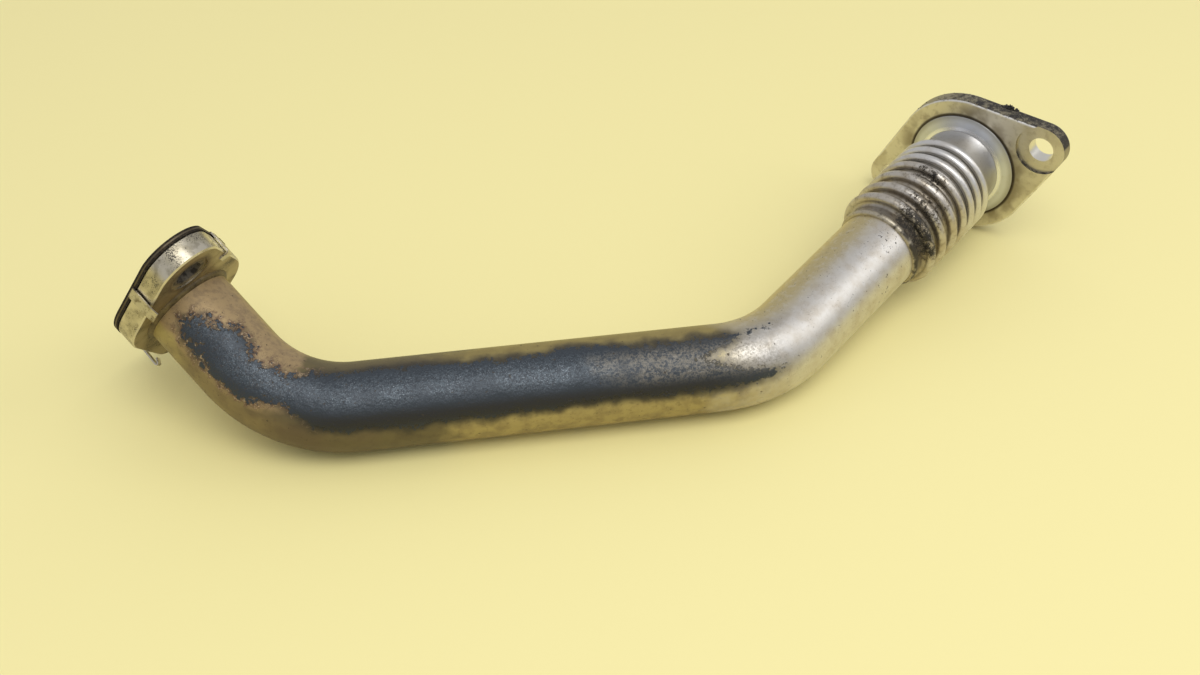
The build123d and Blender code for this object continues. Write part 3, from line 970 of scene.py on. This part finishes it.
class PIPE_OT_tube(bpy.types.Operator):
    """Sweep the bent tube with its crust of scale"""

    bl_idname = "pipe.tube"
    bl_label = "Bent Tube"

    def execute(self, context):
        sizes = context.scene.pipe_sizes
        outside, inside = tube_finish(), bore_finish()
        mesh = bpy.data.meshes.new("tube_route")
        mesh.from_pydata([tuple(point) for point in tube_route()], [(0, 1), (1, 2), (2, 3)], [])
        route = link("tube_route", mesh)
        nodes_modifier(route, swept_tube_tree(outside), {
            "Outside Radius": sizes.outside / 2, "Bend Radius": sizes.bend_radius,
            "Step": sizes.step, "Facets": sizes.facets, "Crust": sizes.crust,
            "Covered": sizes.covered})
        tube = baked(route, "tube_skin")
        tube.data.materials.append(inside)
        wall = tube.modifiers.new("wall", "SOLIDIFY")
        wall.thickness = sizes.wall
        wall.offset = -1
        wall.use_even_offset = True
        wall.material_offset = 1
        wall.material_offset_rim = 0
        tube = baked(tube, "tube_skin")
        settle(tube, "main_pipe")
        return {"FINISHED"}


class PIPE_OT_gasket_end(bpy.types.Operator):
    """Dress the gasket flange and the three layers of the gasket"""

    bl_idname = "pipe.gasket_end"
    bl_label = "Gasket End"

    def execute(self, context):
        plate = welded_copy("gasket_flange", "gasket_plate", gasket_flange_finish())
        settle(plate, "gasket_flange")
        facing = facing_finish()
        for side in ("inner", "outer"):
            layer = welded_copy(f"gasket_{side}_facing", f"{side}_facing", facing)
            settle(layer, f"gasket_{side}_facing")
        core = welded_copy("gasket_core", "core_sheet", core_finish())
        settle(core, "gasket_core")
        return {"FINISHED"}


class PIPE_OT_bellows_end(bpy.types.Operator):
    """Dress the bellows, its collar and the flange that ends the pipe"""

    bl_idname = "pipe.bellows_end"
    bl_label = "Bellows End"

    def execute(self, context):
        bellows = welded_copy("bellows", "corrugated_bellows", bellows_finish())
        measure_bellows(bellows)
        settle(bellows, "bellows")
        collar = welded_copy("dished_collar", "bright_collar", collar_finish())
        settle(collar, "dished_collar")
        plate = welded_copy("bellows_flange", "bellows_plate", bellows_flange_finish())
        settle(plate, "bellows_flange")
        return {"FINISHED"}


class PIPE_OT_welds(bpy.types.Operator):
    """Dress the three weld beads"""

    bl_idname = "pipe.welds"
    bl_label = "Weld Beads"

    def execute(self, context):
        dark, browned = weld_finish(), cuff_weld_finish()
        for node, bead in (
            ("gasket_flange_weld", dark), ("bellows_weld", browned), ("bellows_flange_weld", dark),
        ):
            piece = welded_copy(node, node.replace("weld", "bead"), bead)
            settle(piece, node)
        return {"FINISHED"}


def measure_bellows(piece):
    """Keeps length, angle and depth of groove on the bellows, about its flexed line."""
    sizes = bpy.context.scene.pipe_sizes
    corner = tube_route()[2]
    start_way = cuff_direction()
    mouth, end_way = mount_place("outlet_bore")
    start = corner + start_way * sizes.bellows_leg
    chord = (mouth - start).length
    steps = np.linspace(0, 1, LINE_POINTS)[:, None]
    rise = 3 * steps**2 - 2 * steps**3
    line = (
        (1 - rise) * np.array(start) + rise * np.array(mouth)
        + (steps**3 - 2 * steps**2 + steps) * np.array(start_way) * chord
        + (steps**3 - steps**2) * np.array(end_way) * chord
    )
    lengths = np.r_[0, np.cumsum(np.linalg.norm(np.diff(line, axis=0), axis=1))]
    ways = np.gradient(line, axis=0)
    ways /= np.linalg.norm(ways, axis=1)[:, None]
    count = len(piece.data.vertices)
    spots = np.empty(count * 3)
    piece.data.vertices.foreach_get("co", spots)
    spots = spots.reshape(-1, 3)
    nearest = np.empty(count, int)
    for place in range(0, count, BATCH):
        batch = slice(place, place + BATCH)
        gaps = ((spots[batch, None] - line[None]) ** 2).sum(-1)
        nearest[batch] = np.argmin(gaps, axis=1)
    out = spots - line[nearest]
    before = (out * ways[nearest]).sum(1)
    out -= before[:, None] * ways[nearest]
    front = np.cross(ways[nearest], (0, 0, 1))
    front /= np.linalg.norm(front, axis=1)[:, None]
    upward = np.cross(front, ways[nearest])
    reach = np.linalg.norm(out, axis=1)
    crest = reach.max()
    root = np.percentile(reach, 5)
    around = np.c_[(out * upward).sum(1), (out * front).sum(1), np.zeros(count)] / crest
    along = BELLOWS_STATION + lengths[nearest] + before
    groove = 1 - np.clip((reach - root) / (crest - root), 0, 1)
    normals = np.empty(count * 3)
    piece.data.vertices.foreach_get("normal", normals)
    outward = (normals.reshape(-1, 3) * out).sum(1) / reach
    inside = np.clip(-4 * outward - 0.4, 0, 1)
    for name, kind, values in (
        ("along", "FLOAT", along), ("groove", "FLOAT", groove), ("inside", "FLOAT", inside),
        ("around", "FLOAT_VECTOR", around),
    ):
        attribute = piece.data.attributes.new(name, kind, "POINT")
        attribute.data.foreach_set("vector" if kind == "FLOAT_VECTOR" else "value", values.ravel())


def crumb_tree(name, field, material):
    """Crumbs of soot, strewn over a piece as thickly as a field says."""
    tree = new_tree(name, {"Density": "Float", "Size": "Float", "Seed": "Int"})
    graph = Graph(tree)
    given = graph.node("NodeGroupInput").outputs
    density = field(graph) * given["Density"]
    points = graph.first(
        "GeometryNodeDistributePointsOnFaces",
        {"Mesh": given["Geometry"], "Density": density, "Seed": given["Seed"]},
        distribute_method="RANDOM")
    crumb = graph.first("GeometryNodeMeshIcoSphere", {"Radius": given["Size"], "Subdivisions": 1})
    turn = graph.first(
        "FunctionNodeRandomValue", {1: (FULL_TURN, FULL_TURN, FULL_TURN), 8: given["Seed"]},
        data_type="FLOAT_VECTOR")
    stretch = graph.first(
        "FunctionNodeRandomValue", {0: (0.25, 0.25, 0.25), 8: given["Seed"]},
        data_type="FLOAT_VECTOR")
    chance = graph.node(
        "FunctionNodeRandomValue", {2: 0.0, 3: 1.0, 8: graph.math("ADD", given["Seed"], 1)})
    weight = graph.math("POWER", chance.outputs[1], 3.0)
    stretch = graph.scaled(stretch, weight * 0.7 + 0.3)
    crumbs = graph.first("GeometryNodeInstanceOnPoints", {
        "Points": points, "Instance": crumb, "Rotation": turn, "Scale": stretch})
    dress(graph, crumbs, material)
    return tree


def attribute(graph, name, kind="FLOAT"):
    """Field kept on the mesh under a name."""
    return graph.number("GeometryNodeInputNamedAttribute", {0: name}, data_type=kind)


def bellows_crumbs(graph):
    """Soot in the grooves next to the tube, on the side that faces the front."""
    around = attribute(graph, "around", "FLOAT_VECTOR")
    length = attribute(graph, "along") * IN_MM
    spot = graph.first("GeometryNodeInputPosition")
    outside = graph.math("GREATER_THAN", graph.vector_math("LENGTH", around), 0.8)
    patchy = graph.spread(graph.noise(spot, 2.5 * MM, 3), 0.42, 0.6)
    field = graph.spread(soot_on_bellows(graph, graph.angle(around), length), 0.2, 0.55)
    return field * patchy * outside


def upper_side(graph, mount, spot, normal, steep, faced, patch):
    """Patches on the side of a flange's edge that looks up."""
    facing = abs(graph.dot(normal, mount_place(mount)[1]))
    side = graph.spread(graph.up(normal), 0.3, steep) * graph.spread(facing, *faced)
    size, low, high = patch
    return side * graph.spread(graph.noise(spot, size, 3), low, high)


def flange_crumbs(graph):
    """Soot on the upper side of the bellows flange, outside its holes and its bore."""
    normal = graph.first("GeometryNodeInputNormal")
    spot = graph.first("GeometryNodeInputPosition")
    side = upper_side(graph, "outlet_bolts", spot, normal, 0.7, (0.9, 0.6), (4 * MM, 0.50, 0.66))
    past_bore = graph.math("GREATER_THAN", off_outlet_line(graph, spot), 20.0)
    return side * (outside_holes(graph, spot, normal) * past_bore)


def rim_crumbs(graph):
    """Black grains on the upper rim of the gasket flange."""
    normal = graph.first("GeometryNodeInputNormal")
    spot = graph.first("GeometryNodeInputPosition")
    return upper_side(graph, "inlet_bolts", spot, normal, 0.6, (0.5, 0.2), (3 * MM, 0.50, 0.62))


def strew(carrier, field, density, size, seed, material):
    """New piece, named for its field, that holds the crumbs on a carrier."""
    name = field.__name__
    crumbs = link(name + "_carrier", carrier.data.copy())
    nodes_modifier(crumbs, crumb_tree(name, field, material), {
        "Density": density, "Size": size, "Seed": seed})
    settle(baked(crumbs, name))


def soot_heap(material):
    """Small heap of burnt soot on the upper edge of the bellows flange."""
    size = bpy.context.scene.pipe_sizes.crumb
    centre, axis = mount_place("outlet_bolts")
    ear_way = (upper_bolt("outlet_bolts") - centre).normalized()
    level = Vector((0, 0, 1)).cross(axis)
    up_ear, across_ear, behind = 24.8 * MM, 16.5 * MM, 0.8 * MM
    foot = centre + ear_way * up_ear + ear_way.cross(axis) * across_ear - axis * behind
    foot.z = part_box("bellows_flange")[1].z
    draws = np.random.default_rng(HEAP_SEED)
    heap = bmesh.new()
    for _ in range(HEAP_GRAINS):
        sideways, inward, height = draws.normal(0, 1, 3)
        reach = min(abs(height), 2) * max(0.15, 1 - abs(sideways) / 2)
        spot = foot + level * (sideways * 1.3 * MM) + axis * (inward * 0.5 * MM)
        spot.z += reach * 0.6 * MM
        turn = Euler(draws.uniform(0, FULL_TURN, 3)).to_matrix().to_4x4()
        stretch = Matrix.Diagonal((*draws.uniform(0.4, 1.5, 3), 1))
        place = Matrix.Translation(spot) @ turn @ stretch
        bmesh.ops.create_icosphere(heap, subdivisions=1, radius=size, matrix=place)
    mesh = bpy.data.meshes.new("soot_heap")
    heap.to_mesh(mesh)
    heap.free()
    mesh.materials.append(material)
    settle(link("soot_heap", mesh))


# Piece that carries the crumbs, their field, their number to a square metre,
# their size as a share of the largest crumb, and their seed
SCATTERS = (
    ("corrugated_bellows", bellows_crumbs, 1.6e6, 1.0, 3),
    ("bellows_plate", flange_crumbs, 1.2e6, 1.0, 5),
    ("gasket_plate", rim_crumbs, 8.0e5, 0.6, 7),
)


class PIPE_OT_crumbs(bpy.types.Operator):
    """Strew crumbs of soot over the bellows and both flanges"""

    bl_idname = "pipe.crumbs"
    bl_label = "Soot Crumbs"

    def execute(self, context):
        size = context.scene.pipe_sizes.crumb
        grit = crumb_finish()
        for carrier, field, density, share, seed in SCATTERS:
            strew(bpy.data.objects[carrier], field, density, size * share, seed, grit)
        soot_heap(grit)
        return {"FINISHED"}


def lay_floor(stage):
    """Pale floor that reaches past every view."""
    finish = Finish("pale_floor", tuple(stage.floor), 0.62, 0.0)
    mesh = bpy.data.meshes.new("floor")
    corners = [(-1, -1, 0), (1, -1, 0), (1, 1, 0), (-1, 1, 0)]
    mesh.from_pydata([Vector(corner) * FLOOR_REACH for corner in corners], [], [(0, 1, 2, 3)])
    mesh.materials.append(finish.done())
    link("floor", mesh)


def light_room(stage):
    """Even light of the room, and two soft lamps aimed at the pipe."""
    world = bpy.data.worlds.new("room")
    world.use_nodes = True
    room = world.node_tree.nodes["Background"]
    room.inputs["Color"].default_value = (0.95, 0.96, 1.0, 1)
    room.inputs["Strength"].default_value = stage.sky
    bpy.context.scene.world = world
    for name, (place, width, depth), power in (
        ("ceiling_lamp", CEILING_LAMP, stage.lamp), ("window_lamp", WINDOW_LAMP, stage.window),
    ):
        light = bpy.data.lights.new(name, "AREA")
        light.shape = "RECTANGLE"
        light.size, light.size_y = width, depth
        light.energy = power
        lamp = link(name, light)
        lamp.location = place
        lamp.rotation_euler = (LAMP_AIM - lamp.location).to_track_quat("-Z", "Y").to_euler()


def place_camera(stage):
    """Camera that looks down on the pipe from the front."""
    lens = bpy.data.cameras.new("camera")
    lens.sensor_width = 36
    lens.lens = stage.lens
    lens.clip_start = 0.01
    camera = link("camera", lens)
    camera.matrix_world = (
        Matrix.Translation(stage.camera_place)
        @ Matrix.Rotation(-stage.yaw, 4, "Z")
        @ Matrix.Rotation(radians(90) - stage.pitch, 4, "X")
        @ Matrix.Rotation(stage.roll, 4, "Z"))
    bpy.context.scene.camera = camera


class PIPE_OT_stage(bpy.types.Operator):
    """Set the pale floor, the soft light and the camera"""

    bl_idname = "pipe.stage"
    bl_label = "Stage"

    def execute(self, context):
        stage = context.scene.pipe_stage
        lay_floor(stage)
        light_room(stage)
        place_camera(stage)
        context.scene.view_settings.view_transform = "Standard"
        return {"FINISHED"}


OPERATORS = (
    PIPE_OT_tube, PIPE_OT_gasket_end, PIPE_OT_bellows_end, PIPE_OT_welds, PIPE_OT_crumbs,
    PIPE_OT_stage,
)


class PIPE_PT_panel(bpy.types.Panel):
    """Steps and settings of the exhaust pipe"""

    bl_idname = "PIPE_PT_panel"
    bl_label = "Exhaust Pipe"
    bl_space_type = "VIEW_3D"
    bl_region_type = "UI"
    bl_category = "Pipe"

    def draw(self, context):
        for operator in OPERATORS:
            self.layout.operator(operator.bl_idname)
        scene = context.scene
        for group in (scene.pipe_sizes, scene.pipe_colours, scene.pipe_stage):
            for name in group.bl_rna.properties.keys():
                if name not in ("rna_type", "name"):
                    self.layout.prop(group, name)


CLASSES = (TubeSizes, FinishColours, StageSettings, *OPERATORS, PIPE_PT_panel)


def register():
    """Makes the classes known and gives the scene its settings."""
    for item in CLASSES:
        bpy.utils.register_class(item)
    bpy.types.Scene.pipe_sizes = bpy.props.PointerProperty(type=TubeSizes)
    bpy.types.Scene.pipe_colours = bpy.props.PointerProperty(type=FinishColours)
    bpy.types.Scene.pipe_stage = bpy.props.PointerProperty(type=StageSettings)


def unregister():
    """Takes the settings and the classes away again."""
    del bpy.types.Scene.pipe_sizes, bpy.types.Scene.pipe_colours, bpy.types.Scene.pipe_stage
    for item in reversed(CLASSES):
        bpy.utils.unregister_class(item)


def main():
    """Builds the whole dressed pipe on its stage."""
    register()
    bpy.ops.pipe.tube()
    bpy.ops.pipe.gasket_end()
    bpy.ops.pipe.bellows_end()
    bpy.ops.pipe.welds()
    bpy.ops.pipe.crumbs()
    bpy.ops.pipe.stage()


if __name__ == "__main__":
    main()
